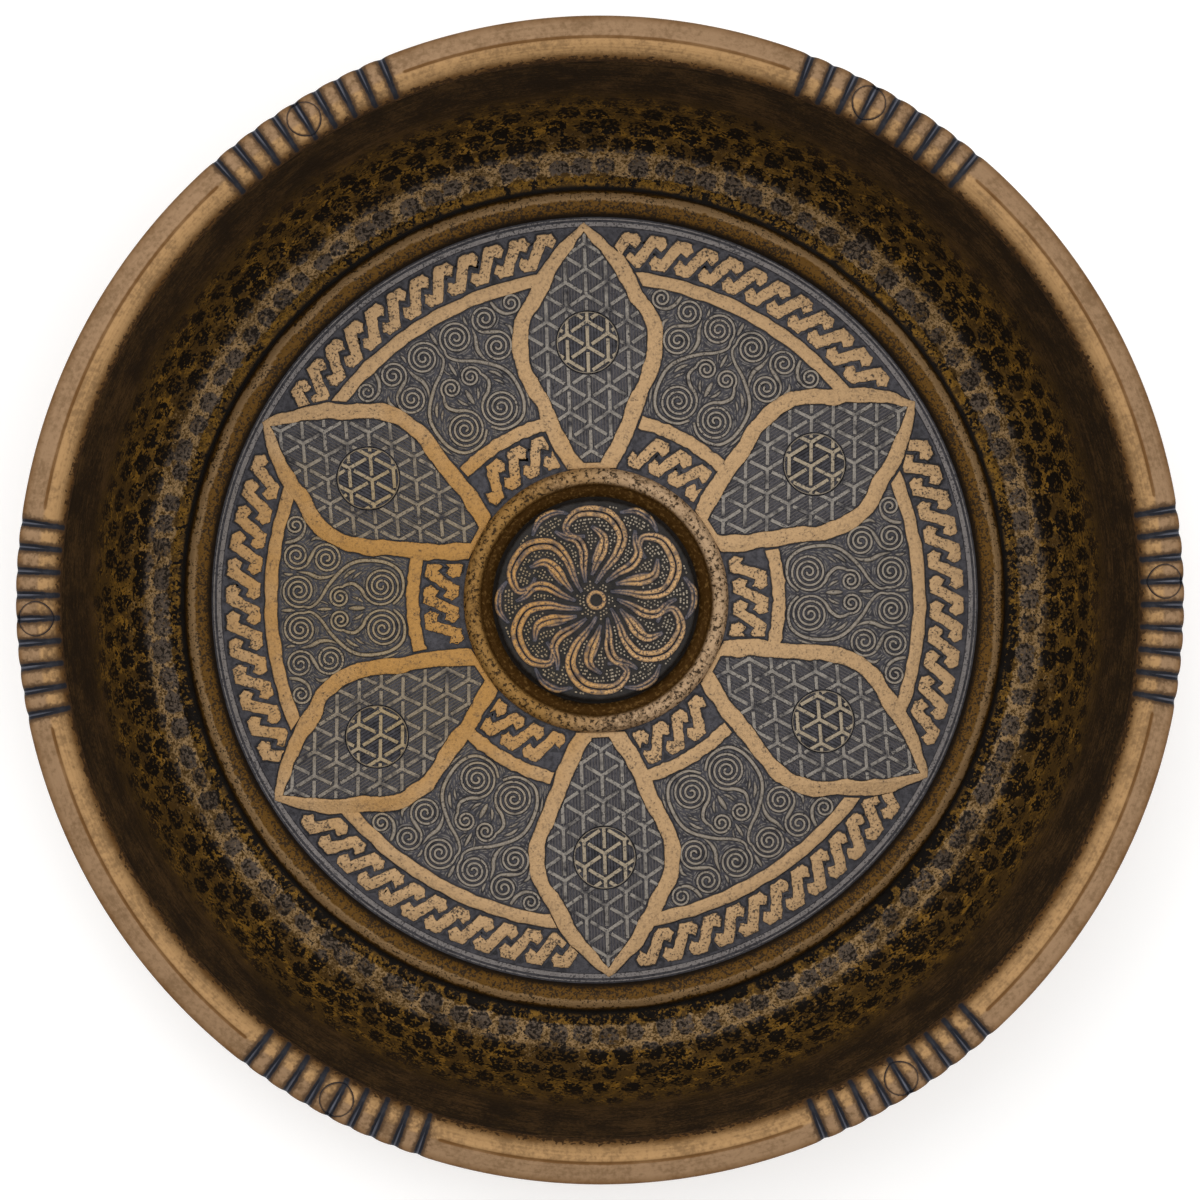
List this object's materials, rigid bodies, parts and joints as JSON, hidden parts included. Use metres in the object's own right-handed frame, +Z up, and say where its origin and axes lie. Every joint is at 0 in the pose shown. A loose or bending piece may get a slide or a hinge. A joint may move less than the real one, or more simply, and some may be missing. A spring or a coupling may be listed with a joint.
{
  "type": "hammam bowl",
  "caption": "Shallow hammered brass washing bowl with a riveted notched rim hoop, an embossed floor plate of petals and frets, a half-round ring and a domed medallion.",
  "frame": {"origin": "middle of the foot's sole, on the table, under the centre of the bowl", "axes": "+Z up along the bowl's axis; +X through a rim rivet, +Y through a petal of the floor plate"},
  "size_m": [0.2, 0.2, 0.05],
  "materials": {
    "hammered_brass": "dark brown patina",
    "rim_brass": "worn satin",
    "plate_patina": "blue-grey patina",
    "rivet_brass": "worn satin",
    "ring_brass": "ochre patina",
    "collar_brass": "worn satin",
    "medallion_patina": "worn patina"
  },
  "bodies": {
    "root": {"bowl_shell": "hammered_brass", "rim_hoop": "rim_brass", "rim_rivet_1": "rim_brass", "rim_rivet_2": "rim_brass", "rim_rivet_3": "rim_brass", "rim_rivet_4": "rim_brass", "rim_rivet_5": "rim_brass", "rim_rivet_6": "rim_brass", "floor_plate": "plate_patina", "plate_rivet_1": "rivet_brass", "plate_rivet_2": "rivet_brass", "plate_rivet_3": "rivet_brass", "plate_rivet_4": "rivet_brass", "plate_rivet_5": "rivet_brass", "plate_rivet_6": "rivet_brass", "floor_ring": "ring_brass", "boss_collar": "collar_brass", "boss_medallion": "medallion_patina"}
  },
  "joints": []
}
